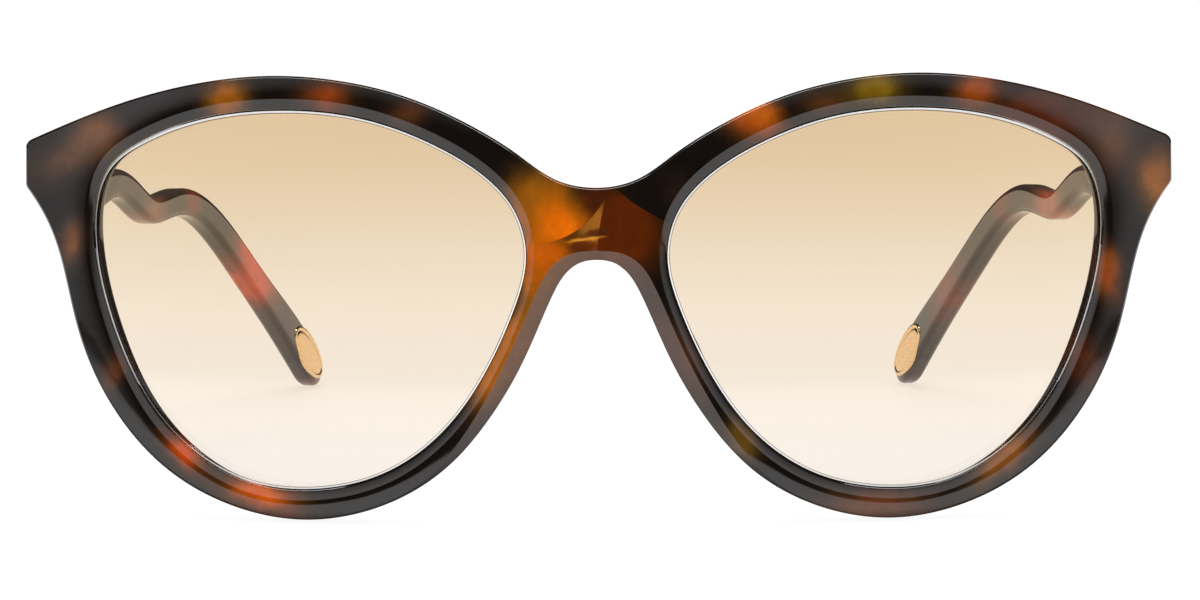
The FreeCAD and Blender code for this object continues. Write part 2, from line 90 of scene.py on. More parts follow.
# Where columns of the front's mesh run: a point of the outline, one of the opening, and how many columns
# lead there from the row above.
COLUMNS = [
    ((0.0, 14.0), (9.5, 9.0), 0), ((10.0, 18.35), (12.4, 14.1), 26), ((24.0, 25.6), (24.5, 21.3), 36),
    ((41.0, 28.4), (40.5, 24.2), 40), ((61.0, 25.2), (56.5, 21.2), 44), ((72.7, 21.0), (62.8, 17.1), 26),
    ((73.5, 20.0), (63.3, 16.2), 8), ((73.5, 15.3), (64.3, 12.0), 14), ((72.9, 14.2), (64.45, 11.0), 8),
    ((69.9, 9.1), (64.3, 7.0), 14), ((66.4, -3.5), (62.2, -2.2), 28), ((61.0, -14.5), (57.3, -12.5), 28),
    ((46.0, -25.8), (44.0, -22.8), 44), ((37.0, -27.45), (36.5, -23.75), 22),
    ((20.0, -21.8), (23.0, -19.5), 40), ((10.0, -9.1), (13.6, -8.3), 38), ((5.5, 0.7), (9.7, 0.5), 26),
    ((0.0, 5.0), (8.85, 7.0), 22), ((0.0, 14.0), (9.5, 9.0), 16),
]

MM = 0.001  # in metres
WALL_GAP = 0.01  # between a lens and the walls of its groove


def rest_matrix():
    """From the design frame in millimetres to the row frame in metres, by way of the left hinge."""
    joint = next(j for j in frame["joints"] if j["name"] == "left_temple_hinge")
    axis = joint["axis"]
    tilt = math.atan2(axis[1], axis[2])
    turned = Matrix.Rotation(-tilt, 4, "X") @ Matrix.Diagonal((MM, MM, MM, 1))
    return Matrix.Translation(Vector(joint["pos_m"]) - turned @ HINGE) @ turned


REST = rest_matrix()


# Curves


class Curve:
    """A smooth curve through points in a plane or in space, followed by its length."""

    STEPS = 24

    def __init__(self, points, closed=False, first=None, last=None):
        points = np.array(points, float)
        slopes, knots = self.slopes(points, closed, first, last)
        if closed:
            points = np.vstack([points, points[:1]])
            slopes = np.vstack([slopes, slopes[:1]])
        places, ways = [], []
        for i in range(len(points) - 1):
            step = knots[i + 1] - knots[i]
            t = np.linspace(0, 1, self.STEPS, endpoint=False)[:, None]
            if i == len(points) - 2:
                t = np.linspace(0, 1, self.STEPS + 1)[:, None]
            a, b, m, n = points[i], points[i + 1], slopes[i] * step, slopes[i + 1] * step
            places.append(
                (2 * t**3 - 3 * t**2 + 1) * a + (t**3 - 2 * t**2 + t) * m
                + (3 * t**2 - 2 * t**3) * b + (t**3 - t**2) * n
            )
            ways.append(
                (6 * t**2 - 6 * t) * (a - b) + (3 * t**2 - 4 * t + 1) * m + (3 * t**2 - 2 * t) * n
            )
        self.set(np.vstack(places), np.vstack(ways))

    def set(self, places, ways):
        """Keeps the places and directions along the curve, and its lengths up to them."""
        self.places = places
        self.ways = ways / np.linalg.norm(ways, axis=1)[:, None]
        gaps = np.linalg.norm(np.diff(places, axis=0), axis=1)
        self.lengths = np.concatenate([[0], np.cumsum(gaps)])
        self.length = self.lengths[-1]

    @staticmethod
    def slopes(points, closed, first, last):
        """The curve's slopes at its points, for a curve with no jump in curvature."""
        count = len(points)
        ring = np.vstack([points, points[:1]]) if closed else points
        steps = np.linalg.norm(np.diff(ring, axis=0), axis=1)
        knots = np.concatenate([[0], np.cumsum(steps)])
        system = np.zeros((count, count))
        right = np.zeros_like(points)
        for i in range(count):
            if not closed and i in (0, count - 1):
                continue
            before, after = steps[i - 1], steps[i]
            system[i, i - 1] += after
            system[i, i] += 2 * (before + after)
            system[i, (i + 1) % count] += before
            right[i] = 3 * (
                after * (points[i] - points[i - 1]) / before
                + before * (points[(i + 1) % count] - points[i]) / after
            )
        if not closed:
            for row, inner, given, sign in ((0, 1, first, 1), (count - 1, count - 2, last, -1)):
                system[row, row] = 1 if given is not None else 2
                if given is not None:
                    right[row] = np.array(given) / np.linalg.norm(given)
                    continue
                system[row, inner] = 1
                gap = steps[0] if row == 0 else steps[-1]
                right[row] = 3 * sign * (points[inner] - points[row]) / gap
        return np.linalg.solve(system, right), knots

    def at(self, lengths):
        """Points and directions at distances along the curve."""
        lengths = np.atleast_1d(lengths)
        points = [np.interp(lengths, self.lengths, self.places[:, k]) for k in range(self.places.shape[1])]
        ways = [np.interp(lengths, self.lengths, self.ways[:, k]) for k in range(self.places.shape[1])]
        ways = np.array(ways).T
        return np.array(points).T, ways / np.linalg.norm(ways, axis=1)[:, None]

    def nearest(self, point):
        """The distance along the curve of the place nearest a point."""
        return self.lengths[np.argmin(np.linalg.norm(self.places - np.array(point), axis=1))]


def chained(*curves):
    """One curve out of several that meet end to end."""
    whole = Curve.__new__(Curve)
    places = [curves[0].places] + [curve.places[1:] for curve in curves[1:]]
    ways = [curves[0].ways] + [curve.ways[1:] for curve in curves[1:]]
    whole.set(np.vstack(places), np.vstack(ways))
    return whole


opening = Curve(LENS_OPENING, closed=True)
outline = chained(
    Curve(BROW, first=(1, 0), last=(0.93, -0.36)),
    Curve([BROW[-1], END[0]], first=(0.93, -0.36), last=(0, -1)),
    Curve(END, first=(0, -1), last=(0, -1)),
    Curve([END[1], UNDER_RIM[0]], first=(0, -1), last=(-0.6, -0.8)),
    Curve(UNDER_RIM, first=(-0.6, -0.8), last=(-1, 0)),
)


def smooth(value, start, end):
    """0 before start, 1 after end, with a soft turn between."""
    t = np.clip((value - start) / (end - start), 0, 1)
    return t * t * (3 - 2 * t)


# Meshes


def weld(mesh, gap=2e-6):
    """Joins points that coincide, turns every face outwards and shades the mesh smooth."""
    work = bmesh.new()
    work.from_mesh(mesh)
    bmesh.ops.remove_doubles(work, verts=work.verts, dist=gap)
    bmesh.ops.dissolve_degenerate(work, edges=work.edges, dist=gap / 2)
    bmesh.ops.recalc_face_normals(work, faces=work.faces)
    work.to_mesh(mesh)
    work.free()
    mesh.shade_smooth()


def linked(name, data):
    """A new object in the scene."""
    made = bpy.data.objects.new(name, data)
    bpy.context.scene.collection.objects.link(made)
    return made


def piece(name, shape, body, slot, material, *replaced, **values):
    """A smooth mesh piece from points of the design frame, riding on a body for some CAD nodes.

    Its points keep the values given, by name, for the materials to read.
    """
    verts, faces = shape
    mesh = bpy.data.meshes.new(name)
    mesh.from_pydata([REST @ Vector(v) for v in verts], [], faces)
    mesh.validate()
    for key, numbers in values.items():
        mesh.attributes.new(key, "FLOAT", "POINT").data.foreach_set("value", numbers)
    weld(mesh)
    made = linked(name, mesh)
    made.data.materials.append(material)
    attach(made, body)
    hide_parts(*replaced)


def rings_to_faces(rings, spokes):
    """Quads between rings of points that follow one another."""
    faces = []
    for ring in range(rings - 1):
        for spoke in range(spokes):
            after = (spoke + 1) % spokes
            a, b = ring * spokes, (ring + 1) * spokes
            faces.append((a + spoke, a + after, b + after, b + spoke))
    return faces


def on_front(x, depth, lean):
    """x and y of a point at a depth in the front's sheet. Walls that lean stand square to the sheet."""
    front = FRONT_RADIUS - math.sqrt(FRONT_RADIUS**2 - x**2)
    back = FRONT_RADIUS - math.sqrt((FRONT_RADIUS - FRONT_THICKNESS) ** 2 - x**2)
    straight = front + (back - front) * depth / FRONT_THICKNESS
    tilted = front + depth * math.sqrt(1 - (x / FRONT_RADIUS) ** 2)
    return x - lean * depth * x / FRONT_RADIUS, straight + lean * (tilted - straight)


def lens_sphere():
    """Centre of the sphere that the left lens is part of."""
    x, z = LENS_CENTRE
    across = math.asin(x / FRONT_RADIUS)
    inward = Vector((-math.sin(across), math.cos(across), 0))
    face = Vector((x, FRONT_RADIUS * (1 - math.cos(across)), z))
    return face + inward * (FRONT_THICKNESS / 2 - LENS_FORWARD + LENS_RADIUS)


SPHERE = lens_sphere()


def lens_depth(x, z, radius):
    """How far back a lens surface of some radius is at a point."""
    return SPHERE.y - math.sqrt(radius**2 - (x - SPHERE.x) ** 2 - (z - SPHERE.z) ** 2)


def front_columns():
    """Points of the opening and the outline with their outward directions, all round the left rim.

    Along the middle of the bridge there is no outline: a share of the bridge's height stands in for its
    point, and None for its direction.
    """
    columns = []
    begin = opening.nearest(COLUMNS[0][1])
    inner_from, outer_from = begin, 0.0
    for number, (outer, inner, count) in enumerate(COLUMNS[1:], start=1):
        bridge = number == len(COLUMNS) - 1
        inner_to = begin if bridge else opening.nearest(inner)
        if inner_to < inner_from:
            inner_to += opening.length
        outer_to = outline.length if number == len(COLUMNS) - 2 else outline.nearest(outer)
        for share in np.arange(count) / count:
            at = inner_from + share * (inner_to - inner_from)
            (point,), (way,) = opening.at(at % opening.length)
            out = np.array([-way[1], way[0]])
            if bridge and share > 0:
                columns.append((point, out, share, None))
                continue
            (edge,), (side,) = outline.at(outer_from + share * (outer_to - outer_from))
            columns.append((point, out, edge, np.array([-side[1], side[0]])))
        inner_from, outer_from = inner_to % opening.length, outer_to
    return columns


BEVEL_WIDTH = 1.0  # of the bevel round a lens opening
BEVEL_WIDER_HIGH = 0.25  # what it gains above and below the lens
BEVEL_NARROWER_OUT = 0.35  # and loses at the temple side
BEVEL_DEPTH = 0.6
BEVEL_ROUNDING = 0.2  # share of an arc in its section, the rest being straight
LIP_DEPTH = 1.3  # how far down the opening's front wall is drawn at most
ARCH_TOP = 1.1  # width of the wide bevel over the nose, and of it beside the nose
ARCH_SIDE = 1.95
ARCH_WIDENS = (0.5, 5.0)  # distances from the middle between which it widens, and fades away
ARCH_FADES = (8.5, 25.0)
ARCH_EXTRA_DEPTH = 0.55
BROW_ABOVE = 9.0  # the outline above this height is the brow
GROOVE_DEPTH = 0.6
OUTLINE_ROUND = 0.28  # width and depth of the eased edge round the outline
OUTLINE_DEEP = 0.42
OUTLINE_ROUNDING = 0.3
BACK_ROUND = 0.55
BACK_LIP = 0.35  # of the opening's eased edge on the back
CROWN_TILT = math.tan(math.radians(8.0))  # how the face slopes back, outwards from the opening
CROWN_EASE = 1.1  # the distance over which the slope begins
CROWN_GROWS = (4.0, 18.0)  # distances from the middle between which the brow takes on the slope
FACE_STARTS = 0.3  # from the bevel to the face's first points
FACE_STOPS = 0.05  # from the face's last points to the eased edge


def profile(point, out, edge):
    """Sizes of the rim's section: its width, the opening's bevel, the outline's edge, and how much of the
    wide bevel round the nose and of the brow's slope there is."""
    room = np.linalg.norm(edge - point)
    bevel = BEVEL_WIDTH + BEVEL_WIDER_HIGH * abs(out[1]) - BEVEL_NARROWER_OUT * max(out[0], 0.0)
    arch = 0.0 if edge[1] > BROW_ABOVE else float(1 - smooth(edge[0], *ARCH_FADES))
    beside = smooth(edge[0], *ARCH_WIDENS)
    round_wide = OUTLINE_ROUND + arch * (ARCH_TOP + (ARCH_SIDE - ARCH_TOP) * beside - OUTLINE_ROUND)
    round_deep = OUTLINE_DEEP + arch * ARCH_EXTRA_DEPTH
    crown = 1.0 if edge[1] < BROW_ABOVE else float(smooth(edge[0], *CROWN_GROWS))
    return room, bevel, round_wide, round_deep, arch, crown * (1 - arch)


ROUND_STEPS = np.radians([0, 6, 18, 32, 46, 60, 74, 84, 90])  # of an arc, and of a straight line beside it
FLAT_STEPS = (0, 0.02, 0.07, 0.25, 0.5, 0.75, 0.93, 0.98, 1)
FACE_SHARES = np.arange(10) / 9


def front_section(point, out, edge, side, meets_middle):
    """One column of the front, from the opening's front round to its back, and how much painted glow each
    point takes.
    """
    room, bevel, wide, deep, arch, crown = profile(point, out, edge)
    lens_front = LENS_RADIUS + LENS_THICKNESS / 2
    lens_back = LENS_RADIUS - LENS_THICKNESS / 2
    start = bevel + FACE_STARTS

    def crown_depth(across):
        """How far the face has dropped behind the sheet's front, at a distance from the opening."""
        t = max(0.0, across - start)
        return crown * CROWN_TILT * (t - CROWN_EASE * (1 - math.exp(-t / CROWN_EASE)))

    rows, milky = [], []

    def add(place, depth, lean=0.0, milk=0.0):
        """Adds a point at a depth behind the sheet's front."""
        x, y = on_front(place[0], depth, lean)
        rows.append((x, y, place[1]))
        milky.append(milk)

    groove_front = lens_depth(*point, lens_front) - WALL_GAP
    groove_back = lens_depth(*point, lens_back) + WALL_GAP
    front_y = on_front(point[0], 0, 0)[1]
    slant = math.sqrt(1 - (point[0] / FRONT_RADIUS) ** 2)
    depth_front = (groove_front - front_y) * slant
    depth_back = (groove_back - front_y) * slant
    # the opening's front: the groove's lip, the bevel, and then the face
    add(point, min(depth_front, LIP_DEPTH), 1.0)
    for angle, flat in zip(ROUND_STEPS[::-1], FLAT_STEPS[::-1]):
        across = bevel * (1 - (1 - BEVEL_ROUNDING) * flat - BEVEL_ROUNDING * math.sin(angle))
        depth = BEVEL_DEPTH * ((1 - BEVEL_ROUNDING) * flat + BEVEL_ROUNDING * (1 - math.cos(angle)))
        add(point + out * across, depth + crown_depth(across), 1.0)
    first_face = point + out * start
    last_face = edge - side * (wide + FACE_STOPS)
    for share in FACE_SHARES:
        across = start + (room - wide - FACE_STOPS - start) * share
        add(first_face + (last_face - first_face) * share, crown_depth(across))
    if meets_middle:
        add(edge, 0.0)
        front_count = len(rows)
        add(edge, FRONT_THICKNESS)
    else:
        fallen = crown_depth(room - wide)
        # the wide bevel round the nose takes the painted glow of light passing through it
        for angle, flat in zip(ROUND_STEPS, FLAT_STEPS):
            rounded = OUTLINE_ROUNDING * (1 - arch)
            in_share = rounded * (1 - math.sin(angle)) + (1 - rounded) * (1 - flat)
            deep_share = rounded * (1 - math.cos(angle)) + (1 - rounded) * flat
            add(edge - side * wide * in_share, fallen + deep * deep_share, milk=arch if flat else 0.0)
            if angle == 0:
                front_count = len(rows)
        for share in (0.06, 0.5, 0.94):
            low, high = fallen + deep, FRONT_THICKNESS - BACK_ROUND
            add(edge, low + (high - low) * share, milk=arch)
        for angle in ROUND_STEPS[::-1]:
            in_from_edge = BACK_ROUND * (1 - math.sin(angle))
            add(edge - side * in_from_edge, FRONT_THICKNESS - BACK_ROUND * (1 - math.cos(angle)))
    outer_end = len(rows) - 1
    last_back = edge - side * (0.9 if meets_middle else BACK_ROUND * 1.3)
    first_back = point + out * 0.5
    for share in FACE_SHARES:
        add(last_back + (first_back - last_back) * share, FRONT_THICKNESS)
    # the eased edge and wall of the opening's back, and the groove
    for across, depth, lean in (
        (BACK_LIP, FRONT_THICKNESS, 0.7), (0.1, FRONT_THICKNESS - 0.03, 1.0),
        (0.03, FRONT_THICKNESS - 0.1, 1.0), (0.0, FRONT_THICKNESS - BACK_LIP, 1.0),
        (0.0, depth_back + 0.05, 1.0), (0.0, depth_back, 1.0), (GROOVE_DEPTH, depth_back, 1.0),
        (GROOVE_DEPTH, depth_front, 1.0), (0.0, depth_front, 1.0),
    ):
        add(point + out * across, depth, lean)
    return rows, milky, front_count, outer_end


Column = namedtuple("Column", "first size front_end outer_end meets_middle")  # where its points are


def front_mesh():
    """Both halves of the front, joined along the middle of the bridge."""
    columns = front_columns()
    top_corner = columns[0]
    low_corner = [column for column in columns if column[3] is not None][-1]
    top = top_corner[2][1] - profile(*top_corner[:3])[2]
    low = low_corner[2][1] + profile(*low_corner[:3])[2]
    index, verts, milky = [], [], []
    for point, out, edge, side in columns:
        meets_middle = side is None
        if meets_middle:
            edge = np.array([0.0, low + (top - low) * edge])
            side = np.array([-1.0, 0.0])
        rows, milk, front_count, outer_end = front_section(point, out, edge, side, meets_middle)
        index.append(Column(len(verts), len(rows), front_count, outer_end, meets_middle))
        verts.extend(rows)
        milky.extend(milk)
    faces = []
    for here, after in zip(index, index[1:] + index[:1]):
        # the front as far as the outline, and round it unless a column ends on the middle
        outer_rows = here.outer_end if not (here.meets_middle or after.meets_middle) else here.front_end - 1
        for i in range(outer_rows):
            a, b = here.first + i, after.first + i
            faces.append((a, b, b + 1, a + 1))
        # the back and the groove, and then closing the ring
        for i in range(here.size - here.outer_end - 1):
            a, b = here.first + here.outer_end + i, after.first + after.outer_end + i
            faces.append((a, b, b + 1, a + 1))
        faces.append((here.first + here.size - 1, after.first + after.size - 1, after.first, here.first))
    mirrored = [(-x, y, z) for x, y, z in verts]
    faces += [tuple(len(verts) + v for v in reversed(face)) for face in faces]
    return verts + mirrored, faces, milky + milky


LENS_COLUMNS = 360
LENS_RINGS = (0.12, 0.25, 0.4, 0.55, 0.7, 0.83, 0.93)  # of the way from the middle to the edge lines
EDGE_INSETS = (1.0, 0.44, 0.36, 0.3, 0.2, 0.12, 0.06, 0.0)  # in from the opening, in widths of the edge lines
LINES_WIDEN = 0.9  # by how much the edge lines grow wider, and towards which way
LINES_WIDEST = (0.8, 0.6)


def lens_mesh(side):
    """A lens: two spherical faces and an edge in the groove. Also each point's inset from the opening."""
    points, ways = opening.at(np.linspace(0, opening.length, LENS_COLUMNS, endpoint=False))
    outs = np.stack([-ways[:, 1], ways[:, 0]], axis=1)
    centre = np.array(LENS_CENTRE)
    radii = (LENS_RADIUS + LENS_THICKNESS / 2, LENS_RADIUS - LENS_THICKNESS / 2)
    verts = [(side * centre[0], lens_depth(*centre, radius), centre[1]) for radius in radii]
    insets = [1.0, 1.0]
    for point, out in zip(points, outs):
        line_width = 1 + LINES_WIDEN * max(0.0, out @ LINES_WIDEST) ** 2
        places = [point - out * inset * line_width for inset in EDGE_INSETS]
        column = [centre + (places[0] - centre) * share for share in LENS_RINGS]
        column += places + [point + out * LENS_OVERLAP]
        for radius, order in ((radii[0], 1), (radii[1], -1)):
            for x, z in column[::order]:
                verts.append((side * x, lens_depth(x, z, radius), z))
        insets += [1.0] * len(LENS_RINGS) + list(EDGE_INSETS) + [0.0] + [1.0] * len(column)
    rows = 2 * (len(LENS_RINGS) + len(EDGE_INSETS) + 1)
    faces = []
    for column in range(LENS_COLUMNS):
        a, b = 2 + column * rows, 2 + (column + 1) % LENS_COLUMNS * rows
        faces += [(a + i, a + i + 1, b + i + 1, b + i) for i in range(rows - 1)]
        faces += [(0, a, b), (1, b + rows - 1, a + rows - 1)]
    return verts, faces, insets


INNER_FACE_OUT = 69.4  # at the hinge
TEMPLE_SLOPE = 0.155  # how the open temples draw together, and curl more from a depth on
CURL_FROM = 60.0
CURL = 0.00092


def inner_face(y):
    """How far out an open temple's inner face is, at a depth y."""
    return INNER_FACE_OUT - TEMPLE_SLOPE * (y - HINGE.y) - CURL * max(0.0, y - CURL_FROM) ** 2


temple_path = Curve([(inner_face(y) + t / 2, y, z) for y, z, t, h in TEMPLE_SECTIONS])
SECTION_AT = [temple_path.nearest((inner_face(y) + t / 2, y, z)) for y, z, t, h in TEMPLE_SECTIONS]
# distances and sizes along the temple
THICKNESS_ALONG = Curve([(s, t) for s, (y, z, t, h) in zip(SECTION_AT, TEMPLE_SECTIONS)])
HEIGHT_ALONG = Curve([(s, h) for s, (y, z, t, h) in zip(SECTION_AT, TEMPLE_SECTIONS)])


def along_temple(distance):
    """Middle, outward, along and upward directions, thickness and height at a distance."""
    (middle,), (along,) = temple_path.at(distance)
    outward = np.cross(along, (0, 0, 1))
    outward /= np.linalg.norm(outward)
    up = np.cross(outward, along)
    thick = np.interp(distance, THICKNESS_ALONG.places[:, 0], THICKNESS_ALONG.places[:, 1])
    high = np.interp(distance, HEIGHT_ALONG.places[:, 0], HEIGHT_ALONG.places[:, 1])
    return middle, outward, along, up, thick, high


CORNER_STEPS = 6
SIDE_STEPS = 5
TEMPLE_CORNER = 0.95  # radius of the corners of a temple's section
TEMPLE_RINGS = 150
BUTT_EDGE = (  # rings of a temple's front end: size, and how far behind the end
    (0.35, 0.0), (0.75, 0.0), (0.93, 0.0), (0.965, 0.04), (0.99, 0.12), (1.0, 0.3),
)
BUTT_LENGTH = 6.0
BAR_STARTS = 0.8  # behind the last of those rings
TIP_ANGLES = np.radians([10, 20, 30, 40, 50, 60, 68, 75, 81, 86])


def temple_ring(distance, thick, high):
    """Points round the temple's section, a rectangle with rounded corners, at a distance."""
    middle, outward, along, up, _, _ = along_temple(min(distance, temple_path.length))
    beyond = max(0.0, distance - temple_path.length)
    middle = middle + along * beyond
    a, b = thick / 2, high / 2
    corner = min(TEMPLE_CORNER, 0.98 * a, 0.98 * b)
    corners = ((1, 1), (-1, 1), (-1, -1), (1, -1))

    def on_corner(quarter, share):
        """A point of a rounded corner, a share of the way round it."""
        sx, sz = corners[quarter % 4]
        turn = math.pi / 2 * (quarter + share)
        return np.array((
            sx * (a - corner) + corner * math.cos(turn), sz * (b - corner) + corner * math.sin(turn)
        ))

    ring = []
    for quarter in range(4):
        ring += [on_corner(quarter, step / CORNER_STEPS) for step in range(CORNER_STEPS + 1)]
        start, end = ring[-1], on_corner(quarter + 1, 0)
        ring += [start + (end - start) * step / SIDE_STEPS for step in range(1, SIDE_STEPS)]
    return np.array([middle + outward * across + up * rise for across, rise in ring])


def meet_front(ring, ahead):
    """Slides a ring of points forward, along the way to ahead, on to the back of the front."""
    moved = []
    for here, there in zip(ring, ahead):
        low, high = -1.0, 2.0
        for _ in range(40):
            share = (low + high) / 2
            place = here + (there - here) * share
            if math.hypot(place[0], place[1] - FRONT_RADIUS) > BUTT_RADIUS:
                low = share
            else:
                high = share
        moved.append(here + (there - here) * high)
    return np.array(moved)


def temple_mesh(side):
    """A temple: a rounded bar along its path, cut along the back of the front, with a rounded tip."""
    rings = []
    near, far = (
        temple_ring(distance, *along_temple(distance)[4:])
        for distance in (SECTION_AT[0], SECTION_AT[0] + BUTT_LENGTH)
    )
    butt = meet_front(near, far)
    middle = butt.mean(axis=0)
    forward = (near - far).mean(axis=0)
    forward /= np.linalg.norm(forward)
    for scale, back in BUTT_EDGE:
        rings.append(middle + (butt - middle) * scale - forward * back)
    start = temple_path.nearest(rings[-1].mean(axis=0)) + BAR_STARTS
    for distance in np.linspace(start, temple_path.length, TEMPLE_RINGS):
        rings.append(temple_ring(distance, *along_temple(distance)[4:]))
    _, _, thick, high = TEMPLE_SECTIONS[-1]
    for angle in TIP_ANGLES:
        rings.append(temple_ring(
            temple_path.length + TIP_LENGTH * math.sin(angle),
            thick * math.sqrt(math.cos(angle)), high * math.cos(angle),
        ))
    rows = len(rings[0])
    verts = [(side * x, y, z) for ring in rings for x, y, z in ring]
    faces = rings_to_faces(len(rings), rows)
    for j in (0, len(rings) - 1):
        x, y, z = rings[j].mean(axis=0)
        verts.append((side * x, y, z))
        for i in range(rows):
            faces.append((j * rows + i, j * rows + (i + 1) % rows, len(verts) - 1))
    return verts, faces


PAD_TOP = (7.5, 1.0)  # a pad's long axis runs along the line between these
PAD_LOW = (14.3, -13.5)
PAD_HALF_LENGTH = 7.4
PAD_HALF_WIDTH = 1.85
PAD_HEIGHT = 3.9
PAD_FLARE_FROM = 0.94  # the share of the half sizes from which the foot flares
PAD_FLARE = 5.6
PAD_SUNK = 0.02
PAD_RINGS = 16
PAD_SPOKES = 64


def pad_mesh(side):
    """A nose pad: a soft swelling on the back of the rim, flared where it is bonded."""
    top, low = np.array(PAD_TOP), np.array(PAD_LOW)
    middle = (top + low) / 2
    along = (low - top) / np.linalg.norm(low - top)
    across = np.array([along[1], -along[0]])
    verts = []
    for ring in range(PAD_RINGS + 1):
        share = ring / PAD_RINGS
        height = PAD_HEIGHT * (math.sqrt(1 - share**2) if share < PAD_FLARE_FROM else (1 - share) * PAD_FLARE)
        for spoke in range(PAD_SPOKES):
            turn = 2 * math.pi * spoke / PAD_SPOKES
            place = middle + along * (PAD_HALF_LENGTH * share * math.cos(turn))
            place = place + across * (PAD_HALF_WIDTH * share * math.sin(turn))
            x, y = on_front(place[0], FRONT_THICKNESS, 0)
            verts.append((side * x, y + height - PAD_SUNK, place[1]))
    return verts, rings_to_faces(PAD_RINGS + 1, PAD_SPOKES)


MEDALLION_PROFILE = (  # from its rim to its middle: share of the half width, and lift off the temple
    (1.0, -0.7), (1.0, 0.05), (0.985, 0.14), (0.95, 0.19), (0.88, 0.2), (0.80, 0.2), (0.765, 0.17),
    (0.745, 0.1), (0.72, 0.08), (0.69, 0.1), (0.66, 0.16), (0.60, 0.2), (0.5, 0.225), (0.35, 0.24),
    (0.2, 0.245),
)
MEDALLION_SPOKES = 96


def medallion_mesh(side):
    """The oval inlay of a tip: a rounded border, a fine groove and a raised middle."""
    near = min(TEMPLE_SECTIONS, key=lambda s: abs(s[0] - MEDALLION_DEPTH))
    at = SECTION_AT[TEMPLE_SECTIONS.index(near)]
    middle, outward, along, up, _, _ = along_temple(at)
    middle = middle + along * (MEDALLION_DEPTH - near[0]) / along[1]
    face = -outward * (near[2] / 2)
    half_long, half_wide = MEDALLION_LENGTH / 2, MEDALLION_WIDTH / 2
    verts = []
    for share, lift in MEDALLION_PROFILE:
        for spoke in range(MEDALLION_SPOKES):
            turn = 2 * math.pi * spoke / MEDALLION_SPOKES
            x, y, z = (
                middle + face - outward * lift
                + along * (half_long - half_wide * (1 - share)) * math.cos(turn)
                + up * half_wide * share * math.sin(turn)
            )
            verts.append((side * x, y, z))
    x, y, z = middle + face - outward * lift
    verts.append((side * x, y, z))
    faces = rings_to_faces(len(MEDALLION_PROFILE), MEDALLION_SPOKES)
    last = len(verts) - 1 - MEDALLION_SPOKES
    for spoke in range(MEDALLION_SPOKES):
        faces.append((last + spoke, last + (spoke + 1) % MEDALLION_SPOKES, len(verts) - 1))
    return verts, faces


# Materials


def fill(tree, socket, value):
    """Links a socket to an output, or sets its value."""
    if isinstance(value, bpy.types.NodeSocket):
        tree.links.new(value, socket)
    else:
        socket.default_value = value


def node(tree, kind, inputs=None, **settings):
    """A shader node with its settings, and inputs by name or number."""
    made = tree.nodes.new(f"ShaderNode{kind}")
    for key, value in settings.items():
        setattr(made, key, value)
    for key, value in (inputs or {}).items():
        fill(tree, made.inputs[key], value)
    return made


def linear(*rgb):
    """Scene-linear values of a display colour given in 0 to 255."""
    return tuple((c / 255 / 12.92) if c <= 10 else ((c / 255 + 0.055) / 1.055) ** 2.4 for c in rgb)


def new_material(name):
    """A material with its node tree and its main shader."""
    material = bpy.data.materials.new(name)
    material.use_nodes = True
    tree = material.node_tree
    return material, tree, tree.nodes["Principled BSDF"]


def design_coordinates(tree):
    """Coordinates of the design frame in millimetres, wherever the piece is."""
    place = REST.to_translation()
    turn = REST.to_euler()
    source = node(tree, "TexCoord").outputs["Object"]
    mapping = node(
        tree, "Mapping", {"Vector": source, "Location": place, "Rotation": turn, "Scale": (MM, MM, MM)},
        vector_type="TEXTURE",
    )
    return mapping.outputs["Vector"]


def maths(tree, operation, *values):
    """The result of a sum on numbers."""
    return node(tree, "Math", dict(enumerate(values)), operation=operation).outputs[0]


def vector_maths(tree, operation, *values):
    """The result of a sum on vectors."""
    return node(tree, "VectorMath", dict(enumerate(values)), operation=operation).outputs[0]


def scaled(tree, vector, scale):
    """A vector times a number."""
    return node(tree, "VectorMath", {0: vector, "Scale": scale}, operation="SCALE").outputs[0]


def noise(tree, coordinates, scale, detail, roughness=0.5, output="Fac"):
    """Soft random variation from place to place."""
    inputs = {"Vector": coordinates, "Scale": scale, "Detail": detail, "Roughness": roughness}
    return node(tree, "TexNoise", inputs).outputs[output]


def ranged(tree, value, given, wanted=(0.0, 1.0), turn="LINEAR"):
    """A value carried from the given range to the wanted one, and held at its ends."""
    inputs = {"Value": value, "From Min": given[0], "From Max": given[1]}
    inputs |= {"To Min": wanted[0], "To Max": wanted[1]}
    return node(tree, "MapRange", inputs, interpolation_type=turn).outputs["Result"]


MIX_SOCKETS = {"FLOAT": (2, 3, 0), "VECTOR": (4, 5, 1), "RGBA": (6, 7, 2)}


def blend(tree, kind, share, start, end):
    """A mix of two numbers, vectors or colours, from start to end as the share grows."""
    first, second, result = MIX_SOCKETS[kind]
    return node(tree, "Mix", {0: share, first: start, second: end}, data_type=kind).outputs[result]


def bump(tree, shader, height, strength, distance):
    """Gives a shader small waves, of a height in metres."""
    waves = node(tree, "Bump", {"Height": height, "Strength": strength, "Distance": distance})
    tree.links.new(waves.outputs["Normal"], shader.inputs["Normal"])


def disc_cover(tree, coordinates, centre, radii, turn, softness):
    """1 inside an ellipse that passes right through the sheet and 0 outside, with a soft edge."""
    placed = node(
        tree, "Mapping",
        {
            "Vector": coordinates, "Location": (centre[0], 0, centre[1]),
            "Rotation": (0, math.radians(turn), 0), "Scale": (radii[0], 1e5, radii[1]),
        },
        vector_type="TEXTURE",
    ).outputs["Vector"]
    distance = node(tree, "VectorMath", {0: placed}, operation="LENGTH").outputs["Value"]
    return ranged(tree, distance, (1 + softness, 1 - softness), turn="SMOOTHSTEP")


FRAY = 1.1  # span of the fine strays at the clouds' edges, in millimetres
CUT_EDGE = 0.06  # how soft the edge of a disc that cuts a cloud off is, in millimetres
PAINTED_GLOW_SHARE = 0.72  # share of the painted glow's colour where the bevel takes the most of it
DARKEST = 1e-3
MOTTLE = 0.16  # of the logarithm of the colour


